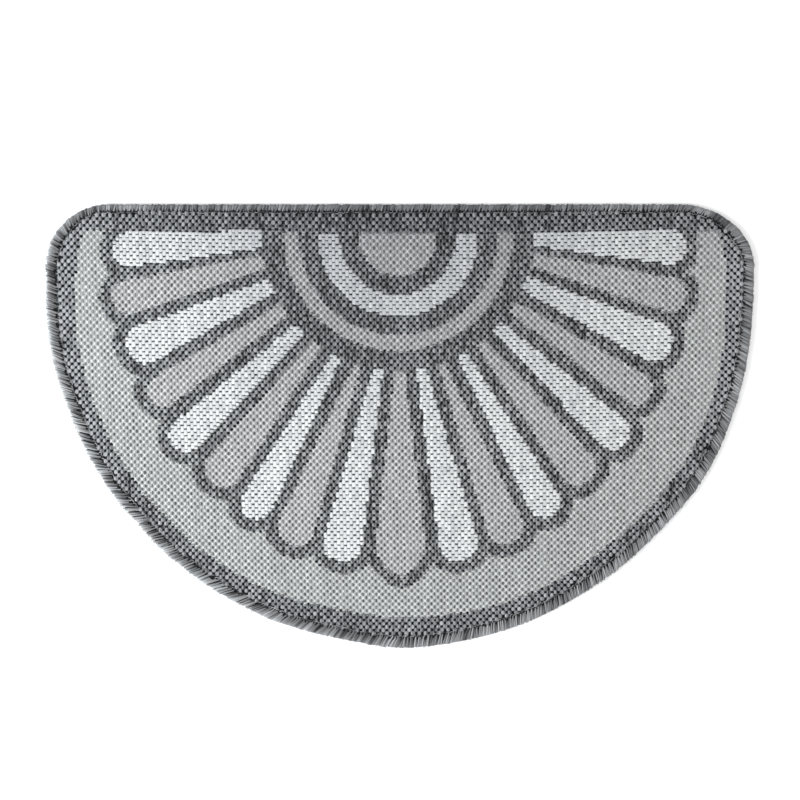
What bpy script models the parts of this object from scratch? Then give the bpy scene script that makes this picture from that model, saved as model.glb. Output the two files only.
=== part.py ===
"""Half-moon doormat: a flat-woven panel with a yarn-bound edge.

Metres, +Z up. The mat lies flat on z = 0 with the origin under the middle of its box. +X runs along the
straight edge and +Y points to it, so the rounded belly of the half-moon lies on the -Y side.
"""

import math

import bmesh
import bpy
import numpy as np

# Overall size, before the waves of the cut edge
MAT_WIDTH = 0.798
MAT_DEPTH = 0.499

# Outline, seen from above: a straight edge, two rounded corners and one long belly. Shoulder depth runs from
# the straight edge down to the widest line, corner run is a corner's length along the straight edge, and two
# powers of 2 would make the belly half an ellipse.
RIGHT_HALF = {"shoulder_depth": 0.071, "corner_run": 0.086, "power_across": 1.815, "power_down": 2.33}
LEFT_HALF = {"shoulder_depth": 0.069, "corner_run": 0.071, "power_across": 1.80, "power_down": 2.26}

# Slow waves that the cut edge has round the belly, each a whole number of times round the mat
EDGE_WAVES = (
    # times round, size, turn in degrees
    (6, 0.0006, 345.0),
    (7, 0.0005, 315.0),
    (11, 0.0004, 65.0),
    (16, 0.0004, 95.0),
)

# Thickness, from the surface that the mat lies on
PANEL_THICKNESS = 0.0045
BINDING_THICKNESS = 0.0052
BINDING_WIDTH = 0.0120  # how far the yarn reaches in over the cloth round the belly
STRAIGHT_NARROWER = 0.0040  # the yarn reaches in this much less on the straight edge
YARN_THICKNESS = 0.0011  # one layer of wrapped yarn
CLEARANCE = 0.0003

# Rounding
BINDING_CREST = 0.0060  # inset of the binding's highest line
NOSE = 0.0030  # the outermost part of the rim, the same all round
PANEL_SHOULDER = 0.0010  # width of the cloth's soft step beside the binding
STEP_DROP = 0.0003
NARROWING_STARTS = 0.60  # how far the rim has turned towards the straight edge, 1 being all the way

STATIONS = 192  # sections round the outline
CURVE_STEPS = 400  # fine steps along each curve before it is divided evenly
CREASE_ANGLE = math.radians(35.0)  # edges that turn more than this stay sharp

PANEL_COLOUR = (0.36, 0.37, 0.38, 1.0)
BINDING_COLOUR = (0.24, 0.245, 0.25, 1.0)
PANEL_ROUGHNESS = 0.85
BINDING_ROUGHNESS = 0.75


def clear_scene():
    for item in list(bpy.data.objects):
        bpy.data.objects.remove(item, do_unlink=True)


def material(name, colour, roughness):
    finish = bpy.data.materials.new(name)
    finish.use_nodes = True
    shader = finish.node_tree.nodes["Principled BSDF"]
    shader.inputs["Base Color"].default_value = colour
    shader.inputs["Roughness"].default_value = roughness
    shader.inputs["Metallic"].default_value = 0.0
    return finish


def half_outline(shoulder_depth, corner_run, power_across, power_down):
    """Fine points of half the outline, on +X, from the belly's tip to the straight edge's middle."""
    half_width = MAT_WIDTH / 2
    belly_depth = MAT_DEPTH - shoulder_depth
    shoulder_y = MAT_DEPTH / 2 - shoulder_depth
    turn = np.linspace(-math.pi / 2, 0.0, CURVE_STEPS)
    belly_x = half_width * np.abs(np.cos(turn)) ** (2 / power_across)
    belly_y = shoulder_y - belly_depth * np.abs(np.sin(turn)) ** (2 / power_down)
    turn = np.linspace(0.0, math.pi / 2, CURVE_STEPS)[1:]
    corner_x = half_width - corner_run + corner_run * np.cos(turn)
    corner_y = shoulder_y + shoulder_depth * np.sin(turn)
    x = np.concatenate((belly_x, corner_x, [0.0]))
    y = np.concatenate((belly_y, corner_y, [MAT_DEPTH / 2]))
    return np.column_stack((x, y))


def outline(stations):
    """Evenly spaced points round the mat, anticlockwise, and the direction into the mat at each."""
    right = half_outline(**RIGHT_HALF)
    left = half_outline(**LEFT_HALF)[::-1] * (-1.0, 1.0)
    fine = np.vstack((right, left[1:]))
    travelled = np.concatenate(([0.0], np.cumsum(np.linalg.norm(np.diff(fine, axis=0), axis=1))))
    share = np.arange(stations) / stations
    wanted = share * travelled[-1]
    points = np.column_stack([np.interp(wanted, travelled, fine[:, axis]) for axis in (0, 1)])
    along = np.roll(points, -1, axis=0) - np.roll(points, 1, axis=0)
    along /= np.linalg.norm(along, axis=1, keepdims=True)
    inward = np.column_stack((-along[:, 1], along[:, 0]))
    belly = 1.0 - straightness(inward)
    for times, size, turn in EDGE_WAVES:
        wave = np.sin(2 * math.pi * times * share + math.radians(turn))
        points = points - inward * (size * belly * wave)[:, None]
    middle = (points.min(axis=0) + points.max(axis=0)) / 2
    return points - middle, inward


def straightness(inward):
    """From 0 round the belly to 1 on the straight edge, by the way that the rim faces."""
    towards_straight = np.clip((-inward[:, 1] - NARROWING_STARTS) / (1.0 - NARROWING_STARTS), 0.0, 1.0)
    return towards_straight**2 * (3.0 - 2.0 * towards_straight)


def local_inset(inset, inward):
    """An inset as it is at each station: past the nose, the section closes up towards the straight edge."""
    past_nose = min(max((inset - NOSE) / (BINDING_WIDTH - NOSE), 0.0), 1.0)
    return inset - STRAIGHT_NARROWER * past_nose * straightness(inward)


def swept_mesh(name, section, capped):
    """Carry a section of (inset, height) points round the outline.

    A capped section runs from the top face's rim to the underside's rim, and both are closed with one flat
    face. Any other section is a closed loop that goes the same way, down its outer side.
    """
    points, inward = outline(STATIONS)
    mesh = bmesh.new()
    rings = []
    for inset, height in section:
        places = points + inward * local_inset(inset, inward)[:, None]
        rings.append([mesh.verts.new((x, y, height)) for x, y in places])
    pairs = list(zip(rings, rings[1:]))
    if not capped:
        pairs.append((rings[-1], rings[0]))
    for upper, lower in pairs:
        for here in range(STATIONS):
            after = (here + 1) % STATIONS
            mesh.faces.new((upper[here], lower[here], lower[after], upper[after]))
    if capped:
        mesh.faces.new(rings[0])
        mesh.faces.new(list(reversed(rings[-1])))
    data = bpy.data.meshes.new(name)
    mesh.to_mesh(data)
    mesh.free()
    return data


def place(name, data, finish, parent):
    item = bpy.data.objects.new(name, data)
    bpy.context.scene.collection.objects.link(item)
    item.parent = parent
    data.materials.append(finish)
    data.shade_smooth()
    data.set_sharp_from_angle(angle=CREASE_ANGLE)
    return item


def panel_section():
    """The cloth at its full thickness, with its rim pressed to a thinner tongue inside the binding."""
    tongue_top = BINDING_THICKNESS - YARN_THICKNESS - CLEARANCE
    tongue_bottom = YARN_THICKNESS + CLEARANCE
    tongue_middle = (tongue_top + tongue_bottom) / 2
    tongue_rim = YARN_THICKNESS + CLEARANCE
    step = BINDING_WIDTH + CLEARANCE
    return (
        (step + PANEL_SHOULDER, PANEL_THICKNESS),
        (step + STEP_DROP, PANEL_THICKNESS - STEP_DROP),
        (step, tongue_top),
        (tongue_rim + STEP_DROP, tongue_top),
        (tongue_rim, tongue_middle),
        (tongue_rim + STEP_DROP, tongue_bottom),
        (step, tongue_bottom),
        (step, STEP_DROP),
        (step + STEP_DROP, 0.0),
    )


def binding_section():
    """Wrapped yarn: a rounded outside, open towards the mat, one yarn layer thick all round the tongue."""
    half = BINDING_THICKNESS / 2
    upper_inside = BINDING_THICKNESS - YARN_THICKNESS
    soft = YARN_THICKNESS / 3
    return (
        (BINDING_WIDTH, upper_inside),
        (BINDING_WIDTH - soft / 2, upper_inside + soft),
        (BINDING_WIDTH - 3 * soft, BINDING_THICKNESS - soft / 2),
        (BINDING_CREST, BINDING_THICKNESS),
        (2 * YARN_THICKNESS, BINDING_THICKNESS - soft),
        (YARN_THICKNESS / 2, BINDING_THICKNESS - YARN_THICKNESS),
        (0.0, half),
        (YARN_THICKNESS / 2, YARN_THICKNESS),
        (2 * YARN_THICKNESS, soft),
        (4 * YARN_THICKNESS, 0.0),
        (BINDING_WIDTH - soft, 0.0),
        (BINDING_WIDTH, soft),
        (BINDING_WIDTH, YARN_THICKNESS),
        (YARN_THICKNESS, YARN_THICKNESS),
        (YARN_THICKNESS, upper_inside),
    )


def build_doormat():
    clear_scene()
    doormat = bpy.data.objects.new("doormat", None)
    bpy.context.scene.collection.objects.link(doormat)
    flat_weave = material("flat_weave", PANEL_COLOUR, PANEL_ROUGHNESS)
    binding_yarn = material("binding_yarn", BINDING_COLOUR, BINDING_ROUGHNESS)
    place("woven_panel", swept_mesh("woven_panel", panel_section(), capped=True), flat_weave, doormat)
    place("edge_binding", swept_mesh("edge_binding", binding_section(), capped=False), binding_yarn, doormat)


build_doormat()
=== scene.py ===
"""The looks of a half-moon doormat: flat-woven cloth with a petal fan, and a rim bound with wrapped yarn.

Metres, +Z up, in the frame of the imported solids: +X runs along the straight edge and +Y points to it.
"""

import math

import bpy
import numpy as np
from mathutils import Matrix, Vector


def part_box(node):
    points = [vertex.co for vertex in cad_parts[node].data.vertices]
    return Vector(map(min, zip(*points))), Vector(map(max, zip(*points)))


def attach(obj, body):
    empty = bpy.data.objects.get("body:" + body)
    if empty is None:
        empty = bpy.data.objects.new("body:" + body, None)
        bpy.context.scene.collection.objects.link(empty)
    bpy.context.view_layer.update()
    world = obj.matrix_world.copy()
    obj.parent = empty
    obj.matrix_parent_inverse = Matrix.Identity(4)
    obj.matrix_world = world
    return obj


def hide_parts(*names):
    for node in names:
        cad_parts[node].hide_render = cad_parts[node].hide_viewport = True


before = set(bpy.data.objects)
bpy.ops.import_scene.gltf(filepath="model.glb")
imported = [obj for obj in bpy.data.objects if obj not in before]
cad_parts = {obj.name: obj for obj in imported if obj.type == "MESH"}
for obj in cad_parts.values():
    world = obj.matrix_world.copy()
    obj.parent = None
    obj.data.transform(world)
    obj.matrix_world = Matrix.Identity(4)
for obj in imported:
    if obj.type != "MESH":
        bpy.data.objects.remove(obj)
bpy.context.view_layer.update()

# Outline, the same as in the solids: a straight edge, two rounded corners and one long belly
MAT_WIDTH = 0.798
MAT_DEPTH = 0.499
RIGHT_HALF = {"shoulder_depth": 0.071, "corner_run": 0.086, "power_across": 1.815, "power_down": 2.33}
LEFT_HALF = {"shoulder_depth": 0.069, "corner_run": 0.071, "power_across": 1.80, "power_down": 2.26}
EDGE_WAVES = (
    # times round, size, turn in degrees
    (6, 0.0006, 345.0),
    (7, 0.0005, 315.0),
    (11, 0.0004, 65.0),
    (16, 0.0004, 95.0),
)
CURVE_STEPS = 400  # fine steps along each curve before it is divided evenly
RIM_STATIONS = 800  # points on the rim that insets are measured from
RIM_SECTIONS = 384  # sections round the ground and the binding's core
BLOCKS = 60  # places are set against the rim in this many lots, which keeps the tables small
STRAIGHT_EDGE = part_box("edge_binding")[1][1]  # y of the straight edge

# Section through the rim
BINDING_WIDTH = 0.0120  # how far the yarn reaches in over the cloth round the belly
STRAIGHT_NARROWER = 0.0040  # it reaches in this much less on the straight edge
NOSE = 0.0030  # the outermost part of the rim, the same all round
NARROWING_STARTS = 0.60  # how far the rim has turned towards the straight edge, 1 being all the way
CLEARANCE = 0.0003
YARN_THICKNESS = 0.0011
CLOTH_STEP = BINDING_WIDTH + CLEARANCE  # inset of the step where the cloth thins to its tongue
TONGUE_RIM = YARN_THICKNESS + CLEARANCE  # inset of the tongue's end, and height of its underside

# The cloth's layers, as heights above the floor
GROUND_TOP = 0.0031
TONGUE_TOP = 0.0020  # the cloth's rim, pressed thin inside the binding
NUB_TOP = 0.0045
DEEP_NUB_TOP = 0.0035  # of the nubs that lie deeper, between the pale ones
NUB_FOOT = 0.0026
CLOTH_MARGIN = 0.0011  # from the binding's inner edge to the middle of the nearest nub
LEFT_MARGIN_MORE = 0.0005  # the gap by the binding is this much wider on the left, baring more near-black ground as painted shade beside the binding

GROUND_SECTION = (
    # inset, height
    (CLOTH_STEP + 0.0010, GROUND_TOP),
    (CLOTH_STEP, GROUND_TOP - 0.0002),
    (CLOTH_STEP - 0.0020, TONGUE_TOP),
    (TONGUE_RIM + 0.0003, TONGUE_TOP),
    (TONGUE_RIM, TONGUE_TOP - 0.0004),
    (TONGUE_RIM + 0.0003, TONGUE_RIM),
    (CLOTH_STEP, TONGUE_RIM),
    (CLOTH_STEP, 0.0003),
    (CLOTH_STEP + 0.0003, 0.0),
)

# The weave: nubs stand in columns, and each second column is half a row lower
COLUMN = 0.003665
ROW = 0.00773
FIRST_ROW = 0.2490  # y of the row at the straight edge
SEED = 7

# How far the weave has crept from square, at a reach of 0.45 m from the middle of the straight edge
CREEP_REACH = 0.450
CREEP = (
    # power of the way across, power of the way down, creep across, creep down
    (0, 0, 0.0005, -0.0045),
    (1, 0, 0.0155, -0.0010),
    (2, 0, 0.0050, -0.0100),
    (0, 1, 0.0, 0.0265),
    (1, 1, -0.0170, -0.0020),
    (0, 2, 0.0055, -0.0250),
)

# The woven picture, measured from the fan's centre
FAN_DROP = 0.035  # that centre lies this far below the straight edge
FAN_LEFT = 0.0013  # and this far left of the mat's middle
FAN_TURN = math.radians(0.3)
TOP_BAND = 0.0294  # the dark band along the straight edge
TOP_BAND_MORE = 0.0030  # it is this much deeper over the rings
BAND_BULGE = 0.150  # half the width of that deeper stretch
BORDER_WIDTH = 0.0280  # from the rim to the field, round the belly
BORDER_MORE = 0.0055  # it is this much wider at the belly's tip
BORDER_BULGE = 0.110  # half the width of that wider stretch
BORDER_MORE_AT_SIDES = 0.0045
BORDER_LOPSIDED = 0.0010  # it is this much wider at the far left, and narrower at the far right
SIDE_STRETCH = 0.100  # how far below the mat's widest line the sides' extra width fades away
FIELD_HALF = 0.3655  # half the field's width above the mat's widest line
FIELD_ARC = 0.100  # radius in which its sides close in towards the top
FIELD_CORNER = 0.006
PETAL_START = 0.151
SIDE_PETALS_LATER = 0.0035  # the petals that lie nearly level start this much further out
SIDE_POWER = 12  # how fast that wears off round the fan
PETALS = (
    # angle from the straight edge in degrees, how far the petal's middle line passes above the fan's centre,
    # width near the rings, width near the tip, reach, white or not
    (4.5, 0.0100, 0.0240, 0.0415, 0.3230, True),
    (14.4, 0.0100, 0.0180, 0.0410, 0.3310, False),
    (24.5, 0.0090, 0.0190, 0.0465, 0.3310, True),
    (33.6, 0.0030, 0.0170, 0.0375, 0.3360, False),
    (42.9, 0.0, 0.0160, 0.0380, 0.3465, True),
    (52.7, 0.0, 0.0150, 0.0415, 0.3490, False),
    (61.2, -0.0030, 0.0125, 0.0335, 0.3595, True),
    (69.0, -0.0080, 0.0110, 0.0375, 0.3685, False),
    (78.2, -0.0070, 0.0135, 0.0385, 0.3720, True),
    (90.0, 0.0, 0.0160, 0.0500, 0.3840, False),
)
NARROWEST = 0.120  # nearer the centre than this a petal's sides run level
NEAR_RINGS = 0.169  # where a petal's two widths are taken
NEAR_TIP = 0.321
CAP_LENGTH = 0.022
CAP_POWER = 2.2
POINTED_CAP_LENGTH = 0.031
POINTED_CAP_POWER = 1.35
OUTLINE_WIDTH = 0.0092  # the dark line round a petal
TIP_OUTLINE_WIDTH = 0.0138
NOTCH_REACH = 0.3215  # how far the field comes in between the tips of two petals at the sides
NOTCH_REACH_MORE = 0.0475  # and how much less far between the middle petals

DARK, FIELD, SILVER, WHITE, BORDER = range(5)  # the kinds of weave
RINGS_LEFT = 0.0012  # the rings' centre lies this far left of the petals'
RINGS_DOWN = 0.0010
RINGS = (
    # outer radius, kind
    (0.0445, SILVER),
    (0.0655, DARK),
    (0.0900, WHITE),
    (0.1110, DARK),
    (0.1290, SILVER),
    (PETAL_START, DARK),
)

# How the nubs' tones, from 0 to 1, vary over the cloth
STREAK_RUN = 7  # rows over which the dye of a column changes
STREAK_SPREAD = 0.13
NUB_SPREAD = 0.16
SIDE_LIGHT_STARTS = 0.31  # painted light: the cloth is lighter beyond this far left and right of the mat's middle
SIDE_LIGHT_WIDTH = 0.08  # and is wholly lightened this much further out
GREY_SIDE_LIGHT = 0.45
DEEP_SIDE_LIGHT = 0.60
HUB_PALER = 0.17
SHADED_MIDDLE_HALF = 0.19  # painted shade darkens the cloth this far to each side of the middle
SHADED_MIDDLE_DEPTH = 0.19
MIDDLE_PAINTED_SHADE = 0.55
STRIP_DEPTH = 0.05  # and a strip along the straight edge
STRIP_PAINTED_SHADE = 0.30
WHITE_PAINTED_SHADE = 0.40  # how much the painted shade lowers the white nubs' tones, besides darkening their colour
# painted shade: colours are multiplied towards this grey where the painted shade is strong
PAINTED_SHADE_TINT = (0.62, 0.62, 0.64, 1.0)

# How far nubs stray, as standard deviations
OUT_OF_PLACE = 0.00012
OUT_OF_LEVEL = 0.00005
OUT_OF_LINE = 0.06
OFF_WIDTH = 0.05
OFF_LENGTH = 0.04
HALF_NUB = 0.53  # length of a nub of which only half shows

# The yarn that wraps the rim
CORE_SECTION = (
    # inset, height, of the loop round the binding's core, painted near-black as shade: over the top, round
    # the rim and back inside
    (0.0112, 0.0017),
    (0.0100, 0.0023),
    (0.0078, 0.0031),
    (0.0050, 0.0037),
    (0.0030, 0.0036),
    (0.0014, 0.0030),
    (0.0011, 0.0024),
    (0.0014, 0.0017),
    (0.0030, 0.0011),
    (0.0060, 0.0008),
    (0.0106, 0.0007),
    (0.0112, 0.0011),
    (0.0015, 0.0013),
    (0.0015, 0.0028),
    (0.0060, 0.0028),
    (0.0098, 0.0016),
)
WRAP_PITCH = 0.00175
WRAP_HALF_WIDTH = 0.00083
WRAP_HALF_THICKNESS = 0.00062
WRAPS_OUT = 0.0006  # they bulge this far out past the solid's rim
RAGGED = 0.00035
RAGGED_MORE = 1.2  # they are this much more ragged where the rim is frayed
SHORT_REACH = 0.80  # two wraps in five reach in this share as far, which leaves a dark hole by the cloth
MORE_SHORT = 0.3  # share of the others that are short where the rim is frayed
SWAY_RUN = 25  # wraps over which their slant drifts
SWAY = 0.5
LOOP_STEP = 2  # wraps to each needle loop
LOOP_RADIUS = 0.00036
LOOP_GAP = 0.0008  # from the binding's inner edge to the needle holes
THREAD_REACH = 0.93  # of the binding's width, to the dark stitches at the short wraps' ends, partly thread and partly painted shade
STRAY_FIBRES = 1100
FIBRE_INSET = 0.0008
SLANTS = (
    # way round the rim from the belly's tip, slant of the wraps in degrees
    (0.00, 20.0),
    (0.20, 22.0),
    (0.29, 21.0),
    (0.315, 10.0),
    (0.345, 21.0),
    (0.50, 19.0),
    (0.655, 12.0),
    (0.685, 6.0),
    (0.71, 24.0),
    (0.76, 30.0),
    (0.85, 36.0),
    (0.93, 30.0),
    (1.00, 20.0),
)

# The camera's view of the mat
VIEW_MIDDLE = (-0.0002, 0.0295)
VIEW_WIDTH = 0.9002


class Value:
    """A socket's value on its way through a tree. Sums on it add Math nodes."""

    def __init__(self, nodes, socket):
        self.nodes = nodes
        self.socket = socket

    def maths(self, operation, *values):
        return self.nodes.add("ShaderNodeMath", {"operation": operation}, dict(enumerate(values)))

    def __add__(self, other):
        return self.maths("ADD", self, other)

    def __radd__(self, other):
        return self.maths("ADD", other, self)

    def __sub__(self, other):
        return self.maths("SUBTRACT", self, other)

    def __rsub__(self, other):
        return self.maths("SUBTRACT", other, self)

    def __mul__(self, other):
        return self.maths("MULTIPLY", self, other)

    def __rmul__(self, other):
        return self.maths("MULTIPLY", other, self)

    def __truediv__(self, other):
        return self.maths("DIVIDE", self, other)

    def __pow__(self, other):
        return self.maths("POWER", self, other)

    def sine(self):
        return self.maths("SINE", self)

    def clipped(self):
        """The same value, held between 0 and 1."""
        return self.nodes.add("ShaderNodeClamp", values={"Value": self})


class Nodes:
    """The nodes of one tree, joined up as they are added."""

    def __init__(self, tree):
        self.tree = tree

    def add(self, kind, settings=None, values=None, output=0):
        """One new node: its settings, then the values or links of its sockets. Gives one of its outputs."""
        node = self.tree.nodes.new(kind)
        for name, value in (settings or {}).items():
            setattr(node, name, value)
        for name, value in (values or {}).items():
            self.feed(node.inputs[name], value)
        return Value(self, node.outputs[output])

    def feed(self, socket, value):
        if isinstance(value, Value):
            self.tree.links.new(value.socket, socket)
        else:
            socket.default_value = value

    def vector(self, x=0.0, y=0.0, z=0.0):
        return self.add("ShaderNodeCombineXYZ", values={"X": x, "Y": y, "Z": z})

    def split(self, vector):
        return [self.add("ShaderNodeSeparateXYZ", values={0: vector}, output=axis) for axis in range(3)]


class GeometryTree(Nodes):
    """A geometry tree that gets a mesh of points, and named sizes."""

    def __init__(self, name, sizes):
        super().__init__(bpy.data.node_groups.new(name, "GeometryNodeTree"))
        sockets = self.tree.interface
        sockets.new_socket("Points", in_out="INPUT", socket_type="NodeSocketGeometry")
        for size in sizes:
            sockets.new_socket(size, in_out="INPUT", socket_type="NodeSocketFloat")
        sockets.new_socket("Finish", in_out="INPUT", socket_type="NodeSocketMaterial")
        sockets.new_socket("Geometry", in_out="OUTPUT", socket_type="NodeSocketGeometry")
        self.inputs = self.tree.nodes.new("NodeGroupInput")

    def __getitem__(self, name):
        return Value(self, self.inputs.outputs[name])

    def attribute(self, name):
        return self.add("GeometryNodeInputNamedAttribute", {"data_type": "FLOAT"}, {"Name": name})

    def store(self, geometry, name, value):
        settings = {"data_type": "FLOAT", "domain": "POINT"}
        values = {"Geometry": geometry, "Name": name, "Value": value}
        return self.add("GeometryNodeStoreNamedAttribute", settings, values)

    def set_on_points(self, piece):
        """End the tree: the piece on each point, turned and sized by the point's own attributes."""
        turn = self.add(
            "FunctionNodeAxisAngleToRotation",
            values={"Axis": (0.0, 0.0, 1.0), "Angle": self.attribute("turn")},
        )
        placed = self.add(
            "GeometryNodeInstanceOnPoints",
            values={
                "Points": self["Points"],
                "Instance": piece,
                "Rotation": turn,
                "Scale": self.vector(self.attribute("wide"), self.attribute("long"), 1.0),
            },
        )
        real = self.add("GeometryNodeRealizeInstances", values={"Geometry": placed})
        smooth = self.add("GeometryNodeSetShadeSmooth", values={"Geometry": real})
        done = self.add("GeometryNodeSetMaterial", values={"Geometry": smooth, "Material": self["Finish"]})
        end = self.tree.nodes.new("NodeGroupOutput")
        self.feed(end.inputs["Geometry"], done)
        return self.tree


def link(item):
    bpy.context.scene.collection.objects.link(item)
    return item


def set_out(tree, name, places, finish, sizes, **attributes):
    """Run a tree on points with these attributes, and keep the result as one plain mesh object."""
    points = bpy.data.meshes.new(name)
    points.from_pydata([tuple(place) for place in places], [], [])
    for attribute, values in attributes.items():
        layer = points.attributes.new(attribute, "FLOAT", "POINT")
        layer.data.foreach_set("value", np.asarray(values, dtype=np.float32))
    layout = link(bpy.data.objects.new(name + "_layout", points))
    modifier = layout.modifiers.new("pieces", "NODES")
    modifier.node_group = tree
    given = {**sizes, "Finish": finish}
    for socket in tree.interface.items_tree:
        if socket.in_out == "INPUT" and socket.name in given:
            modifier[socket.identifier] = given[socket.name]
    graph = bpy.context.evaluated_depsgraph_get()
    shaped = layout.evaluated_get(graph)
    mesh = bpy.data.meshes.new_from_object(shaped, preserve_all_data_layers=True, depsgraph=graph)
    layout.modifiers.clear()
    bpy.data.objects.remove(layout, do_unlink=True)
    mesh.name = name
    return link(bpy.data.objects.new(name, mesh))


def half_outline(shoulder_depth, corner_run, power_across, power_down):
    """Fine points of half the outline, on +X, from the belly's tip to the straight edge's middle."""
    half_width = MAT_WIDTH / 2
    belly_depth = MAT_DEPTH - shoulder_depth
    shoulder_y = MAT_DEPTH / 2 - shoulder_depth
    turn = np.linspace(-math.pi / 2, 0.0, CURVE_STEPS)
    belly_x = half_width * np.abs(np.cos(turn)) ** (2 / power_across)
    belly_y = shoulder_y - belly_depth * np.abs(np.sin(turn)) ** (2 / power_down)
    turn = np.linspace(0.0, math.pi / 2, CURVE_STEPS)[1:]
    corner_x = half_width - corner_run + corner_run * np.cos(turn)
    corner_y = shoulder_y + shoulder_depth * np.sin(turn)
    x = np.concatenate((belly_x, corner_x, [0.0]))
    y = np.concatenate((belly_y, corner_y, [MAT_DEPTH / 2]))
    return np.column_stack((x, y))


def outline(stations):
    """Evenly spaced points round the mat, anticlockwise, and the direction into the mat at each."""
    right = half_outline(**RIGHT_HALF)
    left = half_outline(**LEFT_HALF)[::-1] * (-1.0, 1.0)
    fine = np.vstack((right, left[1:]))
    travelled = np.concatenate(([0.0], np.cumsum(np.linalg.norm(np.diff(fine, axis=0), axis=1))))
    share = np.arange(stations) / stations
    wanted = share * travelled[-1]
    points = np.column_stack([np.interp(wanted, travelled, fine[:, axis]) for axis in (0, 1)])
    along = np.roll(points, -1, axis=0) - np.roll(points, 1, axis=0)
    along /= np.linalg.norm(along, axis=1, keepdims=True)
    inward = np.column_stack((-along[:, 1], along[:, 0]))
    belly = 1.0 - straightness(inward)
    for times, size, turn in EDGE_WAVES:
        wave = np.sin(2 * math.pi * times * share + math.radians(turn))
        points = points - inward * (size * belly * wave)[:, None]
    middle = (points.min(axis=0) + points.max(axis=0)) / 2
    return points - middle, inward


def rim_length():
    points, _ = outline(4 * CURVE_STEPS)
    return np.linalg.norm(np.roll(points, -1, axis=0) - points, axis=1).sum()


def straightness(inward):
    """From 0 round the belly to 1 on the straight edge, by the way that the rim faces."""
    towards_straight = np.clip((-inward[:, 1] - NARROWING_STARTS) / (1.0 - NARROWING_STARTS), 0.0, 1.0)
    return towards_straight**2 * (3.0 - 2.0 * towards_straight)


def local_inset(inset, inward):
    """An inset as it is at each station: past the nose, the section closes up towards the straight edge."""
    past_nose = min(max((inset - NOSE) / (BINDING_WIDTH - NOSE), 0.0), 1.0)
    return inset - STRAIGHT_NARROWER * past_nose * straightness(inward)


def leftness(inward):
    """From 0 to 1 by how far the rim faces left, where the yarn is frayed and painted lighter and the gap
    beside it is wide.
    """
    return np.clip(inward[:, 0], 0.0, 1.0) ** 1.5


def swept(name, section, capped, finishes):
    """Carry a section of (inset, height) points round the outline, anticlockwise, outside down.

    A capped section starts on the top face and ends on the underside. Its underside gets the second finish.
    """
    stations = RIM_SECTIONS
    points, inward = outline(stations)
    vertices = []
    for inset, height in section:
        places = points + inward * local_inset(inset, inward)[:, None]
        vertices += [(x, y, height) for x, y in places]
    rings = len(section)
    faces = []
    for upper in range(rings - 1 if capped else rings):
        lower = (upper + 1) % rings
        for here in range(stations):
            after = (here + 1) % stations
            faces.append(
                (
                    upper * stations + here,
                    lower * stations + here,
                    lower * stations + after,
                    upper * stations + after,
                )
            )
    if capped:
        faces.append(tuple(range(stations)))
        faces.append(tuple(reversed(range((rings - 1) * stations, rings * stations))))
    mesh = bpy.data.meshes.new(name)
    mesh.from_pydata(vertices, [], faces)
    for finish in finishes:
        mesh.materials.append(finish)
    mesh.shade_smooth()
    if capped:
        mesh.polygons[len(faces) - 1].material_index = len(finishes) - 1
    return link(bpy.data.objects.new(name, mesh))


def nearest_station(places, rim, inward):
    """For each place, how far it lies inside the rim, and the rim's station that is nearest to it."""
    insets = []
    stations = []
    for block in np.array_split(places, BLOCKS):
        apart = block[:, None, :] - rim[None, :, :]
        nearest = np.argmin((apart**2).sum(axis=2), axis=1)
        rows = np.arange(len(block))
        insets.append((apart[rows, nearest] * inward[nearest]).sum(axis=1))
        stations.append(nearest)
    return np.concatenate(insets), np.concatenate(stations)


def in_petal(along, across, near_width, far_width, reach, cap, power, grow):
    """Whether places lie in one petal, made wider and longer by its dark outline where grow isn't 0."""
    slope = (far_width - near_width) / (NEAR_TIP - NEAR_RINGS)
    half = (near_width + slope * (np.maximum(along, NARROWEST) - NEAR_RINGS)) / 2 + grow
    tip = reach + (TIP_OUTLINE_WIDTH if grow else 0.0)
    cap = cap + grow / 2
    into_cap = np.clip((along - (tip - cap)) / cap, 0.0, 1.0)
    half = half * (1.0 - into_cap**power) ** (1.0 / power)
    return (into_cap < 1.0) & (np.abs(across) < half) & (along > PETAL_START - grow)


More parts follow.
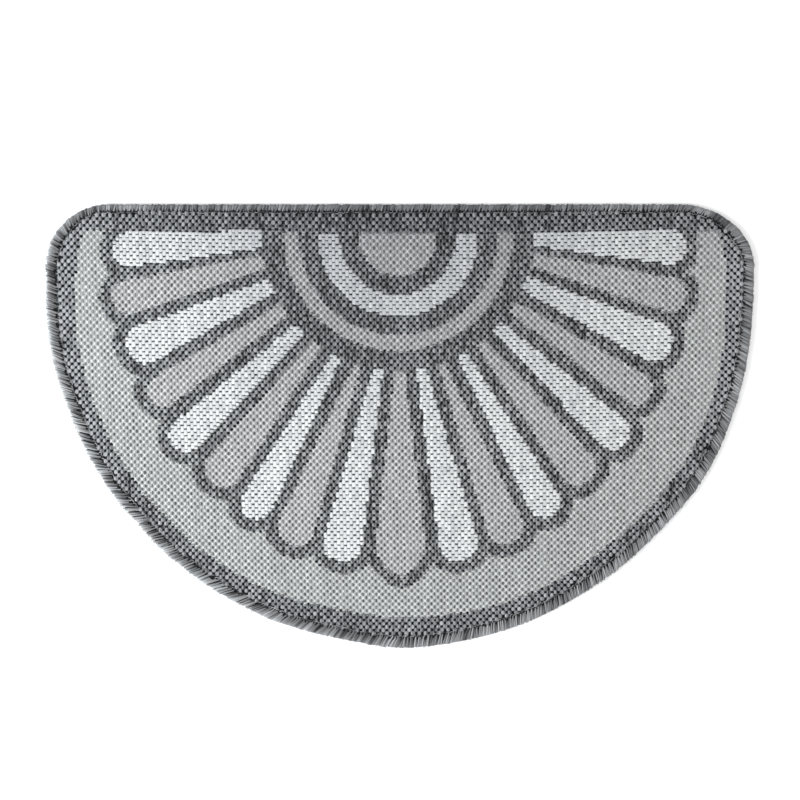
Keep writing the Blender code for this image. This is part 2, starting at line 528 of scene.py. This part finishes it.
def woven_kind(places):
    """Which of the kinds of weave shows at each place."""
    x = places[:, 0] + FAN_LEFT
    down = STRAIGHT_EDGE - FAN_DROP - places[:, 1]
    turned_x = x * math.cos(FAN_TURN) - down * math.sin(FAN_TURN)
    turned_down = x * math.sin(FAN_TURN) + down * math.cos(FAN_TURN)
    kind = np.full(len(x), FIELD)
    fills = []
    for degrees, lift, near_width, far_width, reach, white in PETALS:
        c, s = math.cos(math.radians(degrees)), math.sin(math.radians(degrees))
        along = np.abs(turned_x) * c + turned_down * s
        across = turned_down * c - np.abs(turned_x) * s + lift
        cap, power = CAP_LENGTH, CAP_POWER
        if degrees == 90.0:
            cap, power = POINTED_CAP_LENGTH, POINTED_CAP_POWER
        shape = (along, across, near_width, far_width, reach, cap, power)
        kind[in_petal(*shape, OUTLINE_WIDTH)] = DARK
        fills.append((WHITE if white else SILVER, in_petal(*shape, 0.0)))
    for fill, inside in fills:
        kind[inside] = fill
    radius = np.hypot(turned_x, turned_down)
    steepness = turned_down / np.maximum(radius, COLUMN)
    between_petals = radius < NOTCH_REACH + NOTCH_REACH_MORE * steepness**2
    kind[between_petals & (kind == FIELD)] = DARK
    ring_radius = np.hypot(turned_x + RINGS_LEFT, turned_down - RINGS_DOWN)
    inner = 0.0
    for outer, ring_kind in RINGS:
        kind[(ring_radius >= inner) & (ring_radius < outer)] = ring_kind
        inner = outer
    levelness = np.abs(turned_x) / np.maximum(radius, COLUMN)
    kind[(ring_radius >= inner) & (ring_radius < inner + SIDE_PETALS_LATER * levelness**SIDE_POWER)] = DARK
    deeper = np.maximum(1.0 - (places[:, 0] / BAND_BULGE) ** 2, 0.0)
    below_band = down + FAN_DROP - TOP_BAND - TOP_BAND_MORE * deeper
    from_side = into_field_from_side(places)
    from_corner = np.hypot(
        np.maximum(FIELD_CORNER - from_side, 0.0), np.maximum(FIELD_CORNER - below_band, 0.0)
    )
    kind[(from_side < 0.0) | (below_band < 0.0) | (from_corner > FIELD_CORNER)] = BORDER
    return kind


def into_field_from_side(places):
    """How far each place lies inside the field's edge, measured from the belly or from the mat's side."""
    rim, inward = outline(RIM_STATIONS)
    inset, _ = nearest_station(places, rim, inward)
    x = places[:, 0]
    above_widest = places[:, 1] - STRAIGHT_EDGE + RIGHT_HALF["shoulder_depth"]
    width = BORDER_WIDTH + BORDER_MORE * np.exp(-((x / BORDER_BULGE) ** 2))
    width += BORDER_MORE_AT_SIDES * np.exp(-((above_widest / SIDE_STRETCH) ** 2))
    from_belly = inset - width + BORDER_LOPSIDED * x / FIELD_HALF
    from_side = FIELD_HALF - np.abs(x - BORDER_LOPSIDED) - above_widest**2 / (2 * FIELD_ARC)
    return np.where(above_widest > 0.0, from_side, from_belly)


def streaks(random, columns, rows, run):
    """Tones from 0 to 1 that change slowly down each column, as in yarn dyed in long stretches."""
    noise = random.normal(size=(columns, rows + run))
    smooth = np.apply_along_axis(lambda line: np.convolve(line, np.ones(run) / run, "valid"), 1, noise)
    smooth = smooth[:, :rows] * math.sqrt(run)
    single = random.normal(size=(columns, rows))
    return np.clip(0.5 + STREAK_SPREAD * smooth + NUB_SPREAD * single, 0.0, 1.0)


def creep(across, down):
    """How far the crossings have moved across and down, because the weave isn't quite square."""
    moved = np.zeros((2, *across.shape))
    for power_across, power_down, creep_across, creep_down in CREEP:
        share = (across / CREEP_REACH) ** power_across * (down / CREEP_REACH) ** power_down
        moved[0] += creep_across * share
        moved[1] += creep_down * share
    return moved


class Crossings:
    """Every place in the cloth where a nub can stand: even ones, or those half a row below them."""

    def __init__(self, half_row_lower):
        columns = int(MAT_WIDTH / 2 / COLUMN)
        rows = int(MAT_DEPTH / ROW) + 2
        column, row = np.meshgrid(np.arange(-columns, columns + 1), np.arange(rows), indexing="ij")
        across = column * COLUMN
        down = (row + 0.5 * ((column + half_row_lower) % 2)) * ROW
        moved_across, moved_down = creep(across, down)
        x = across + moved_across
        y = FIRST_ROW - down - moved_down
        self.random = np.random.default_rng(SEED + half_row_lower)
        self.tone = streaks(self.random, *column.shape, STREAK_RUN).ravel()
        self.places = np.column_stack((x.ravel(), y.ravel()))
        self.wider = (np.gradient(x, axis=0) / COLUMN).ravel()
        self.longer = (1.0 + np.gradient(moved_down, axis=1) / ROW).ravel()
        # painted shade, darkest by the middle of the straight edge
        self.soil = soiling(self.places)
        self.kinds = woven_kind(self.places)
        self.upper_kinds = woven_kind(self.places + (0.0, ROW / 4))
        self.lower_kinds = woven_kind(self.places - (0.0, ROW / 4))
        # painted light, lighter towards the far left and right
        self.painted_side_light = np.clip((np.abs(self.places[:, 0]) - SIDE_LIGHT_STARTS) / SIDE_LIGHT_WIDTH, 0.0, 1.0)
        self.inside = self.on_cloth()

    def on_cloth(self):
        """Whether each lies clear of the binding's inner edge."""
        rim, inward = outline(RIM_STATIONS)
        inset, station = nearest_station(self.places, rim, inward)
        edge = local_inset(BINDING_WIDTH, inward) + CLOTH_MARGIN + LEFT_MARGIN_MORE * leftness(inward) ** 3
        return inset > edge[station]


def soiling(places):
    """How much painted shade darkens the cloth, from 0 to 1: most by the middle of the straight edge."""
    down = STRAIGHT_EDGE - places[:, 1]
    shaded_middle = np.exp(-((places[:, 0] / SHADED_MIDDLE_HALF) ** 4) - (down / SHADED_MIDDLE_DEPTH) ** 4)
    strip = np.exp(-((down / STRIP_DEPTH) ** 2))
    return np.clip(MIDDLE_PAINTED_SHADE * shaded_middle + STRIP_PAINTED_SHADE * strip, 0.0, 1.0)


def nub_tree(sides):
    """A nub on each point. Its four corners are pushed out, and ridge lowers what lies between them."""
    tree = GeometryTree(
        "nub on each crossing",
        ("Width", "Length", "Height", "Corners across", "Corners down", "Taper", "Peak", "Ridge"),
    )
    block = tree.add(
        "GeometryNodeMeshCylinder",
        {"fill_type": "TRIANGLE_FAN"},
        {"Vertices": sides, "Side Segments": 2, "Fill Segments": 1, "Radius": 1.0, "Depth": 1.0},
        output="Mesh",
    )
    x, y, z = tree.split(tree.add("GeometryNodeInputPosition"))
    rise = z + 0.5
    corner = 4.0 * x * x * y * y
    middle = 1.0 - x * x - y * y
    spread = (1.0 - tree["Taper"] * rise * rise) ** 0.5
    lowered = 1.0 - tree["Ridge"] * (1.0 - middle) * (1.0 - corner)
    peak = tree["Peak"]
    share = ((1.0 - (1.0 - rise) ** 3.0) * (1.0 - peak) + peak * rise * middle) * lowered
    place = tree.vector(
        x * spread * (tree["Width"] / 2.0 + corner * tree["Corners across"]),
        y * spread * (tree["Length"] / 2.0 + corner * tree["Corners down"]),
        share * tree["Height"],
    )
    # the yarn finishes paint shade and highlights from the height share and the side of each point
    marked = tree.store(block, "crown", share)
    marked = tree.store(marked, "along", y * spread)
    marked = tree.store(marked, "across", x * spread)
    nub = tree.add("GeometryNodeSetPosition", values={"Geometry": marked, "Position": place})
    return tree.set_on_points(nub)


def wrap_tree():
    """One wrap of yarn on each point: in from the rim's top, round the nose and back underneath."""
    tree = GeometryTree("wrap on each station", ("Reach", "Half width", "Half thickness", "Top", "Foot"))
    reach, top, foot = tree["Reach"], tree["Top"], tree["Foot"]
    bulge = top - foot
    route = tree.add(
        "GeometryNodeCurvePrimitiveBezierSegment",
        {"mode": "POSITION"},
        {
            "Resolution": 9,
            "Start": tree.vector(reach, 0.0, top - 0.50 * bulge),
            "Start Handle": tree.vector(0.0, 0.0, top + 0.90 * bulge),
            "End Handle": tree.vector(reach * -0.48, 0.0, foot - 0.22 * bulge),
            "End": tree.vector(reach * 1.15, 0.0, foot + 0.02 * bulge),
        },
    )
    along = tree.add("GeometryNodeSplineParameter", output="Factor")
    route = tree.store(route, "along", along)
    ring = tree.add(
        "GeometryNodeCurvePrimitiveCircle", {"mode": "RADIUS"}, {"Resolution": 6, "Radius": 1.0}
    )
    ring = tree.store(ring, "across", tree.add("GeometryNodeSplineParameter", output="Factor"))
    section = tree.add(
        "GeometryNodeTransform",
        values={"Geometry": ring, "Scale": tree.vector(tree["Half width"], tree["Half thickness"], 1.0)},
    )
    strand = tree.add(
        "GeometryNodeCurveToMesh",
        values={"Curve": route, "Profile Curve": section, "Fill Caps": True},
    )
    return tree.set_on_points(strand)


def loop_tree():
    """A short loop of yarn on each point, which runs forward along the binding's inner edge."""
    tree = GeometryTree("loop on each stitch", ("Span", "Bulge", "Radius", "Top", "Foot"))
    span, bulge, top, foot = tree["Span"], tree["Bulge"], tree["Top"], tree["Foot"]
    route = tree.add(
        "GeometryNodeCurvePrimitiveBezierSegment",
        {"mode": "POSITION"},
        {
            "Resolution": 6,
            "Start": tree.vector(-1.4 * bulge, 0.05 * span, foot),
            "Start Handle": tree.vector(1.6 * bulge, 0.0, top),
            "End Handle": tree.vector(1.4 * bulge, -0.8 * span, top),
            "End": tree.vector(0.4 * bulge, -1.0 * span, foot),
        },
    )
    route = tree.store(route, "along", tree.add("GeometryNodeSplineParameter", output="Factor"))
    ring = tree.add(
        "GeometryNodeCurvePrimitiveCircle", {"mode": "RADIUS"}, {"Resolution": 5, "Radius": tree["Radius"]}
    )
    strand = tree.add(
        "GeometryNodeCurveToMesh", values={"Curve": route, "Profile Curve": ring, "Fill Caps": True}
    )
    return tree.set_on_points(strand)


class Yarn(Nodes):
    """A finish for yarn. Its pieces' attributes say where a point lies in its strand, and how much painted
    shade darkens it.
    """

    def __init__(self, name):
        self.finish = bpy.data.materials.new(name)
        self.finish.use_nodes = True
        super().__init__(self.finish.node_tree)
        self.shader = self.finish.node_tree.nodes["Principled BSDF"]
        self.place = self.add("ShaderNodeTexCoord", output="Object")
        self.tone = self.attribute("tone")
        self.crown = self.attribute("crown")
        self.along = self.attribute("along")
        self.across = self.attribute("across")

    def attribute(self, name):
        return self.add("ShaderNodeAttribute", {"attribute_name": name}, output="Fac")

    def fibres(self, scale):
        """Fine hairs that run down the cloth."""
        hairs = self.add("ShaderNodeMapping", values={"Vector": self.place, "Scale": (1.0, 0.25, 1.0)})
        return self.add("ShaderNodeTexNoise", values={"Vector": hairs, "Scale": scale, "Detail": 2.0})

    def fibres_in_strand(self):
        """Fine hairs that run along each strand of the binding."""
        strand = self.vector(self.along * 4.0, self.across * 14.0, self.tone * 90.0)
        return self.add("ShaderNodeTexNoise", values={"Vector": strand, "Scale": 1.0, "Detail": 3.0})

    def plies(self, turns):
        """The twist of the yarn, from -1 to 1, as slanting bands over each nub."""
        return ((self.along * turns + self.across * 0.8) * (2.0 * math.pi)).sine()

    def clouds(self):
        return self.add("ShaderNodeTexNoise", values={"Vector": self.place, "Scale": 14.0, "Detail": 1.0})

    def shaded(self, shade, dark, light, relief, roughness):
        """Set the colour from dark to light by the shade, darken it by each point's painted shade, with this
        relief on the surface.
        """
        clean = self.add(
            "ShaderNodeMix",
            {"data_type": "RGBA", "clamp_factor": True},
            {0: shade, 6: (*dark, 1.0), 7: (*light, 1.0)},
            output=2,
        )
        # painted shade: the colour is multiplied towards a grey by each point's painted shade
        with_painted_shade = self.add(
            "ShaderNodeMix",
            {"data_type": "RGBA", "blend_type": "MULTIPLY"},
            {0: self.attribute("soil"), 6: clean, 7: PAINTED_SHADE_TINT},
            output=2,
        )
        bump = self.add("ShaderNodeBump", values={"Strength": 0.6, "Distance": 0.00025, "Height": relief})
        self.feed(self.shader.inputs["Base Color"], with_painted_shade)
        self.feed(self.shader.inputs["Normal"], bump)
        self.shader.inputs["Roughness"].default_value = roughness
        self.shader.inputs["Specular IOR Level"].default_value = 0.15
        return self.finish


def grey_yarn(name, dark, light):
    """Yarn of mixed greys: its tone sets the shade, and plies, hairs, a painted highlight stripe and painted
    shade on its low sides change it.
    """
    look = Yarn(name)
    hair = look.fibres(850.0)
    ply = look.plies(1.3)
    # a light stripe down each nub, painted highlight of the twisted yarn
    strand = (look.across * 3.2 + look.tone * 40.0).sine()
    shade = 0.20 + look.tone * 0.68 + (hair - 0.5) * 0.9 + (look.clouds() - 0.5) * 0.25 + strand * 0.20
    # painted shade: low on the nub's sides the colour goes dark towards the foot's
    top = (look.crown * 3.0 - 1.4).clipped()
    foot = look.tone * 0.3 - 0.25
    return look.shaded(shade * top + foot * (1.0 - top), dark, light, hair + ply * 0.3, 0.6)


def white_yarn():
    look = Yarn("white yarn nubs")
    hair = look.fibres(1500.0)
    ply = look.plies(1.3)
    # painted light and shade: lighter on the high crown, darker on the sides
    shade = look.tone * 0.6 + look.crown * 0.5 + (hair - 0.5) * 0.4 + ply * 0.05 - 0.05
    shade = shade - look.across * look.across * 0.5
    return look.shaded(shade, (0.36, 0.37, 0.38), (0.74, 0.74, 0.745), hair + ply * 0.3, 0.65)


def pale_yarn(name, foot, crown):
    """Light yarn with a painted highlight on its crown, and painted shade on its sides and foot, down between
    the other nubs.
    """
    look = Yarn(name)
    hair = look.fibres(1500.0)
    # painted highlight on the high crown, painted shade lower down and on the sides
    shade = look.crown * 3.0 - 1.9 + (look.tone - 0.5) * 0.6 + (hair - 0.5) * 0.35
    shade = shade - look.across * look.across * 0.8
    return look.shaded(shade, foot, crown, hair, 0.65)


def recessed_yarn():
    """Duller yarn that is darkest down the middle of each nub."""
    look = Yarn("grey yarn between the pale")
    hair = look.fibres(1500.0)
    shade = look.tone * 0.4 + look.across * look.across * 1.5 - 0.12 + (hair - 0.5) * 0.3
    return look.shaded(shade, (0.07, 0.07, 0.07), (0.50, 0.505, 0.50), hair, 0.65)


def binding_yarn(name, dark, light):
    """Yarn of the rim, with fibres that run along each strand, painted shade towards each strand's inner end,
    and painted light on its outer end, more where the rim faces left.
    """
    look = Yarn(name)
    hair = look.fibres_in_strand()
    # painted shade towards each strand's inner end, painted light on its outer end, more where the rim faces
    # left
    outwards = (look.along * 2.0).clipped()
    frayed = look.attribute("frayed") * outwards * outwards
    shade = look.tone + (hair - 0.5) * 0.7 + (look.clouds() - 0.5) * 0.2 + outwards * 0.2 - 0.14
    return look.shaded(shade + frayed * 0.6, dark, light, hair, 0.55)


def woven_back():
    """The plain underside, ribbed by the wefts that hold the nubs."""
    look = Yarn("woven back")
    x, y, _ = look.split(look.place)
    ribs = (y * (4.0 * math.pi / ROW)).sine() * (x * (2.0 * math.pi / COLUMN)).sine()
    hair = look.fibres(900.0)
    shade = 0.5 + ribs * 0.25 + (hair - 0.5) * 0.5
    return look.shaded(shade, (0.14, 0.14, 0.14), (0.40, 0.40, 0.40), ribs + hair * 0.3, 0.9)


def dark_weft_and_shade():
    """The near-black threads that show in the holes between the nubs: partly the weft's own dark colour,
    partly painted shade of the holes.
    """
    finish = bpy.data.materials.new("dark weft and painted shade")
    finish.use_nodes = True
    nodes = Nodes(finish.node_tree)
    shader = finish.node_tree.nodes["Principled BSDF"]
    place = nodes.add("ShaderNodeTexCoord", output="Object")
    hair = nodes.add("ShaderNodeTexNoise", values={"Vector": place, "Scale": 900.0, "Detail": 2.0})
    colour = nodes.add(
        "ShaderNodeMix",
        {"data_type": "RGBA", "clamp_factor": True},
        {0: hair, 6: (0.003, 0.003, 0.0035, 1.0), 7: (0.020, 0.020, 0.022, 1.0)},
        output=2,
    )
    nodes.feed(shader.inputs["Base Color"], colour)
    shader.inputs["Roughness"].default_value = 0.9
    shader.inputs["Specular IOR Level"].default_value = 0.1
    return finish


def nubs(tree, name, parts, crossings, tone, finish, sizes, top=NUB_TOP):
    """One kind of nub, each a little out of place, out of line and off size.

    The parts say which crossings have a whole nub, which have an upper half and which have a lower half.
    """
    chosen = np.concatenate([np.flatnonzero(part) for part in parts])
    half = np.repeat((0.0, 1.0, -1.0)[: len(parts)], [int(part.sum()) for part in parts])
    count = len(chosen)
    random = crossings.random
    longer = crossings.longer[chosen] * random.normal(1.0, OFF_LENGTH, size=count)
    spots = crossings.places[chosen] + random.normal(scale=OUT_OF_PLACE, size=(count, 2))
    spots[:, 1] += half * longer * sizes["Length"] / 4
    return set_out(
        tree,
        name,
        np.column_stack((spots, NUB_FOOT + random.normal(scale=OUT_OF_LEVEL, size=count))),
        finish,
        {**sizes, "Height": top - NUB_FOOT},
        turn=random.normal(scale=OUT_OF_LINE, size=count) * (half == 0.0),
        wide=crossings.wider[chosen] * random.normal(1.0, OFF_WIDTH, size=count),
        long=longer * np.where(half == 0.0, 1.0, HALF_NUB),
        tone=tone[chosen],
        soil=crossings.soil[chosen],
    )


def shared_out(crossings, kind):
    """The crossings where one kind of nub stands whole, and where only its upper or lower half shows."""
    upper = crossings.inside & (crossings.upper_kinds == kind)
    lower = crossings.inside & (crossings.lower_kinds == kind)
    return upper & lower, upper & ~lower, lower & ~upper


def paler_hub(crossings):
    """What the half disc at the fan's centre adds to its nubs' tones, as its yarn is a little paler."""
    x, y = crossings.places.T
    return HUB_PALER * (np.hypot(x + FAN_LEFT, STRAIGHT_EDGE - FAN_DROP - y) < RINGS[0][0])


def weave(ground_finish, back_finish):
    """The woven cloth: a dark ground, tucked into the binding, with every nub of yarn on it."""
    ground = swept("woven_ground", GROUND_SECTION, True, (ground_finish, back_finish))

    tree = nub_tree(8)
    grey_sizes = {
        "Width": 0.0049, "Length": 0.0052, "Corners across": 0.0003, "Corners down": 0.0003,
        "Taper": 0.45, "Peak": 0.10, "Ridge": 0.0,
    }
    white_sizes = {
        "Width": 0.0048, "Length": 0.0067, "Corners across": 0.0005, "Corners down": 0.0008,
        "Taper": 0.45, "Peak": 0.10, "Ridge": 0.0,
    }
    pale_sizes = {
        "Width": 0.0032, "Length": 0.0042, "Corners across": 0.0026, "Corners down": 0.0025,
        "Taper": 0.62, "Peak": 0.22, "Ridge": 0.25,
    }
    recessed_sizes = {
        "Width": 0.0048, "Length": 0.0056, "Corners across": 0.0, "Corners down": 0.0,
        "Taper": 0.30, "Peak": 0.10, "Ridge": 0.0,
    }
    border = grey_yarn("grey yarn of the border", (0.014, 0.015, 0.017), (0.40, 0.405, 0.42))
    fan = grey_yarn("grey yarn of the fan", (0.014, 0.015, 0.016), (0.40, 0.405, 0.415))
    field = pale_yarn("pale yarn of the field", (0.36, 0.365, 0.36), (0.76, 0.77, 0.76))
    silver = pale_yarn("pale yarn of the silver petals", (0.36, 0.355, 0.36), (0.75, 0.745, 0.75))
    even = Crossings(half_row_lower=0)
    # painted light lifts the grey tones at the far sides, and painted shade lowers the white tones
    grey_tone = even.tone + GREY_SIDE_LIGHT * even.painted_side_light
    white_tone = even.tone - WHITE_PAINTED_SHADE * even.soil
    silver_tone = even.tone + paler_hub(even)
    pieces = [
        nubs(tree, "border_nubs", shared_out(even, BORDER), even, grey_tone, border, grey_sizes),
        nubs(tree, "outline_nubs", shared_out(even, DARK), even, grey_tone, fan, grey_sizes),
        nubs(tree, "white_nubs", shared_out(even, WHITE), even, white_tone, white_yarn(), white_sizes),
        nubs(tree, "field_net", shared_out(even, FIELD), even, even.tone, field, pale_sizes),
        nubs(tree, "silver_net", shared_out(even, SILVER), even, silver_tone, silver, pale_sizes),
    ]
    odd = Crossings(half_row_lower=1)
    light = (odd.inside & ((odd.kinds == FIELD) | (odd.kinds == SILVER)),)
    recessed = recessed_yarn()
    # painted light lifts the deep nubs' tones at the far sides
    deep_tone = odd.tone + DEEP_SIDE_LIGHT * odd.painted_side_light + paler_hub(odd)
    deep = (light, odd, deep_tone, recessed, recessed_sizes, DEEP_NUB_TOP)
    pieces.append(nubs(nub_tree(6), "recessed_nubs", *deep))
    return ground, pieces


def stray_tree():
    """A loose fibre on each point, bent to one side, that lies out from the rim."""
    tree = GeometryTree("fibre on each point", ("Length", "Radius"))
    length = tree["Length"]
    route = tree.add(
        "GeometryNodeCurvePrimitiveBezierSegment",
        {"mode": "POSITION"},
        {
            "Resolution": 4,
            "Start": tree.vector(0.0, 0.0, 0.0),
            "Start Handle": tree.vector(length * -0.4, 0.0, 0.0002),
            "End Handle": tree.vector(length * -0.7, length * 0.1, 0.0004),
            "End": tree.vector(length * -1.0, length * 0.35, -0.0004),
        },
    )
    ring = tree.add(
        "GeometryNodeCurvePrimitiveCircle", {"mode": "RADIUS"}, {"Resolution": 3, "Radius": tree["Radius"]}
    )
    strand = tree.add(
        "GeometryNodeCurveToMesh", values={"Curve": route, "Profile Curve": ring, "Fill Caps": True}
    )
    return tree.set_on_points(strand)


def patches(random, count):
    """Tones from 0 to 1 for the wraps: runs of a few wraps share a shade, and each differs a little."""
    tone = np.zeros(count)
    start = 0
    while start < count:
        run = int(random.integers(3, 10))
        tone[start : start + run] = random.uniform(0.32, 0.66)
        start += run
    return np.clip(tone + random.normal(scale=0.18, size=count), 0.0, 1.0)


def binding(finish, shade_painted_core_finish):
    """The wrapped rim: a core painted near-black as shade between the wraps, a strand for each wrap, the
    needle's loops and thread, loose fibres.
    """
    core = swept("binding_core", CORE_SECTION, False, (shade_painted_core_finish,))
    stations = round(rim_length() / WRAP_PITCH)
    rim, inward = outline(stations)
    random = np.random.default_rng(SEED + 20)
    way_round = np.arange(stations) / stations
    slant = np.radians(np.interp(way_round, *zip(*SLANTS)))
    drift = random.normal(size=stations + SWAY_RUN - 1)
    slant = slant + SWAY * np.convolve(drift, np.ones(SWAY_RUN) / SWAY_RUN, "valid")
    facing = np.arctan2(inward[:, 1], inward[:, 0])
    inner = local_inset(BINDING_WIDTH, inward)
    # frayed on the left: ragged, short and loose yarn, and painted light on the wraps' outer ends
    frayed = leftness(inward)
    ragged = random.normal(scale=RAGGED, size=stations) * (1.0 + RAGGED_MORE * frayed)
    places = rim + inward * (ragged - WRAPS_OUT)[:, None]
    two_in_five = 2 * np.arange(stations) % 5 < 2
    short = two_in_five | (random.uniform(size=stations) < MORE_SHORT * frayed)
    reach = inner / BINDING_WIDTH / np.cos(slant) * np.where(short, SHORT_REACH, 1.0)
    tone = patches(random, stations)
    # painted shade along the rim, as over the cloth
    soil = soiling(rim)
    wraps = set_out(
        wrap_tree(),
        "binding_wraps",
        np.column_stack((places, np.zeros(stations))),
        finish,
        {
            "Reach": BINDING_WIDTH,
            "Half width": WRAP_HALF_WIDTH,
            "Half thickness": WRAP_HALF_THICKNESS,
            "Top": 0.0047,
            "Foot": 0.0007,
        },
        turn=facing - slant + random.normal(scale=0.04, size=stations),
        wide=reach * random.normal(1.0, 0.03, size=stations),
        long=np.ones(stations),
        tone=tone,
        soil=soil,
        frayed=frayed,
    )
    stitch = np.arange(0, stations, LOOP_STEP)
    forward = np.column_stack((inward[:, 1], -inward[:, 0]))
    holes = rim + inward * (inner + LOOP_GAP)[:, None] + forward * (inner * np.tan(slant))[:, None]
    holes = holes[stitch] + random.normal(scale=0.0002, size=(len(stitch), 2))
    loop_size = random.normal(1.0, 0.10, size=len(stitch))
    loops = set_out(
        loop_tree(),
        "needle_loops",
        np.column_stack((holes, np.zeros(len(stitch)))),
        finish,
        {"Span": 0.0032, "Bulge": 0.0008, "Radius": LOOP_RADIUS, "Top": 0.0048, "Foot": 0.0030},
        turn=facing[stitch] + random.normal(scale=0.10, size=len(stitch)),
        wide=loop_size * random.normal(1.0, 0.20, size=len(stitch)),
        long=loop_size,
        tone=np.clip(0.50 + random.normal(scale=0.28, size=len(stitch)), 0.0, 1.0),
        soil=soil[stitch],
    )
    pulled_in = np.flatnonzero(two_in_five)
    depth = THREAD_REACH * inner[pulled_in]
    ends = rim[pulled_in] + inward[pulled_in] * depth[:, None]
    ends += forward[pulled_in] * (depth * np.tan(slant[pulled_in]))[:, None]
    # dark stitches in the holes by the short wraps: thread, and painted shade
    stitches = set_out(
        nub_tree(6),
        "needle_thread",
        np.column_stack((ends, np.full(len(pulled_in), 0.0022))),
        shade_painted_core_finish,
        {"Width": 0.0022, "Length": 0.0019, "Height": 0.0012, "Taper": 0.4},
        turn=facing[pulled_in],
        wide=random.normal(1.0, 0.15, size=len(pulled_in)),
        long=random.normal(1.0, 0.10, size=len(pulled_in)),
        tone=random.uniform(0.0, 0.5, size=len(pulled_in)),
        soil=soil[pulled_in],
    )
    chance = (0.04 + frayed) * (1.0 - straightness(inward))
    loose = random.choice(stations, size=STRAY_FIBRES, p=chance / chance.sum())
    heights = random.uniform(0.0016, 0.0040, size=STRAY_FIBRES)
    fibres = set_out(
        stray_tree(),
        "stray_fibres",
        np.column_stack((rim[loose] + inward[loose] * FIBRE_INSET, heights)),
        finish,
        {"Length": 0.0034, "Radius": 0.00014},
        turn=facing[loose] + random.normal(scale=0.5, size=STRAY_FIBRES),
        wide=random.uniform(0.4, 1.1, size=STRAY_FIBRES),
        long=np.ones(STRAY_FIBRES),
        tone=random.uniform(0.5, 1.0, size=STRAY_FIBRES),
        soil=soil[loose],
        frayed=frayed[loose],
    )
    return core, wraps, loops, stitches, fibres


def floor():
    half = 4.0
    mesh = bpy.data.meshes.new("floor")
    corners = [(-half, -half), (half, -half), (half, half), (-half, half)]
    mesh.from_pydata([(x, y, -0.0001) for x, y in corners], [], [(0, 1, 2, 3)])
    finish = bpy.data.materials.new("white floor")
    finish.use_nodes = True
    shader = finish.node_tree.nodes["Principled BSDF"]
    shader.inputs["Base Color"].default_value = (0.9, 0.9, 0.9, 1.0)
    shader.inputs["Roughness"].default_value = 0.9
    shader.inputs["Emission Color"].default_value = (1.0, 1.0, 1.0, 1.0)
    shader.inputs["Emission Strength"].default_value = 0.25
    mesh.materials.append(finish)
    link(bpy.data.objects.new("floor", mesh))


def soft_light(name, place, size, power, colour, aim=(0.0, 0.0, 0.0)):
    """A square soft light that faces its aim."""
    lamp = bpy.data.lights.new(name, "AREA")
    lamp.shape = "SQUARE"
    lamp.size = size
    lamp.energy = power
    lamp.color = colour
    item = link(bpy.data.objects.new(name, lamp))
    item.location = place
    away = np.subtract(place, aim)
    item.rotation_euler = (
        math.acos(away[2] / np.linalg.norm(away)),
        0.0,
        math.atan2(away[1], away[0]) + math.pi / 2,
    )


def studio():
    """Pale floor, soft light that is strongest from the left, and a camera straight above the mat."""
    floor()
    soft_light("window light", (-1.9, -0.5, 1.2), 1.0, 69.0, (0.92, 0.97, 1.0))
    soft_light("overhead light", (0.2, -0.5, 2.6), 2.0, 23.0, (1.0, 1.0, 1.0))
    world = bpy.data.worlds.new("studio")
    world.use_nodes = True
    world.node_tree.nodes["Background"].inputs["Color"].default_value = (1.0, 1.0, 1.0, 1.0)
    world.node_tree.nodes["Background"].inputs["Strength"].default_value = 0.45
    scene = bpy.context.scene
    scene.world = world
    scene.view_settings.view_transform = "Standard"
    lens = bpy.data.cameras.new("camera")
    lens.lens = 85.0
    camera = link(bpy.data.objects.new("camera", lens))
    camera.location = (*VIEW_MIDDLE, NUB_TOP + VIEW_WIDTH * lens.lens / lens.sensor_width)
    scene.camera = camera


def build():
    # the core's near-black finish is painted shade between the wraps
    shade_painted_core_yarn = binding_yarn("yarn deep in the binding", (0.010, 0.010, 0.010), (0.04, 0.04, 0.04))
    rim_yarn = binding_yarn("binding yarn", (0.045, 0.046, 0.048), (0.45, 0.455, 0.465))
    ground, nub_pieces = weave(dark_weft_and_shade(), woven_back())
    rim_pieces = binding(rim_yarn, shade_painted_core_yarn)
    for piece in (ground, *nub_pieces):
        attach(piece, "root")
    for piece in rim_pieces:
        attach(piece, "root")
    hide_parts("woven_panel")
    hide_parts("edge_binding")
    studio()


build()
